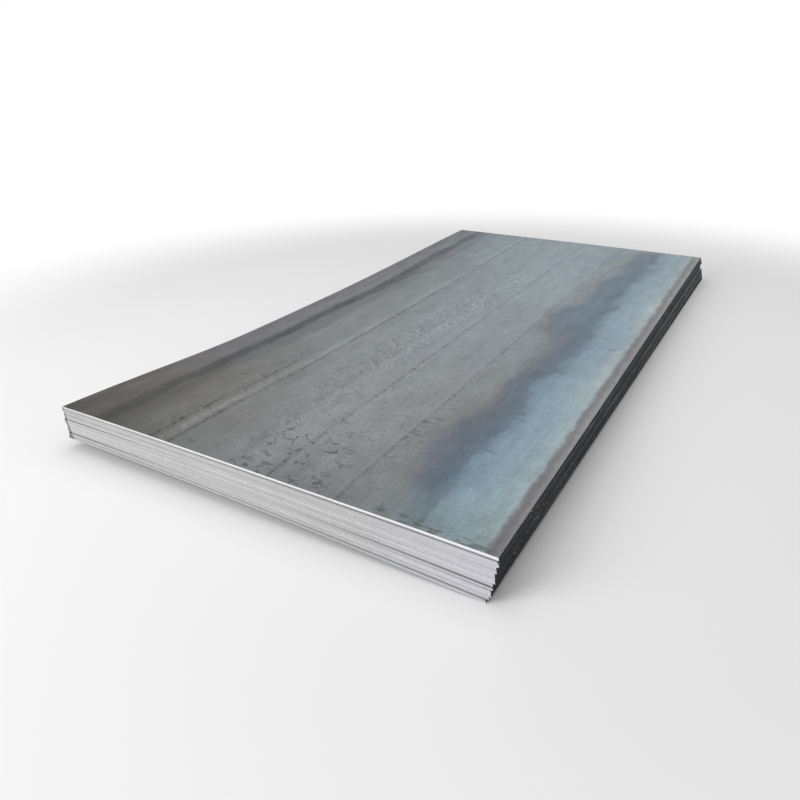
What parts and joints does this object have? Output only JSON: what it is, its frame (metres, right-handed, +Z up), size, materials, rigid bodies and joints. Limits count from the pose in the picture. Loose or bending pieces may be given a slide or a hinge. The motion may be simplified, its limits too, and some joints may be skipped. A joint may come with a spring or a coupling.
{
  "type": "steel plate stack",
  "caption": "Stack of hot-rolled steel plates lying on the floor, slightly askew, with sheared ends, mill edges and a shallow dip along one long edge.",
  "frame": {"origin": "middle of the stack's outline, on the floor it lies on", "axes": "+X across the plates' width, +Y along their length away from the sheared end seen in front, +Z up"},
  "size_m": [1.5468, 3.023, 0.1564],
  "materials": {
    "mill_scale_steel": "satin"
  },
  "bodies": {
    "root": {"plate_01": "mill_scale_steel", "plate_02": "mill_scale_steel", "plate_03": "mill_scale_steel", "plate_04": "mill_scale_steel", "plate_05": "mill_scale_steel", "plate_06": "mill_scale_steel", "plate_07": "mill_scale_steel", "plate_08": "mill_scale_steel", "plate_09": "mill_scale_steel", "plate_10": "mill_scale_steel", "plate_11": "mill_scale_steel", "plate_12": "mill_scale_steel", "plate_13": "mill_scale_steel", "plate_14": "mill_scale_steel"}
  },
  "joints": []
}
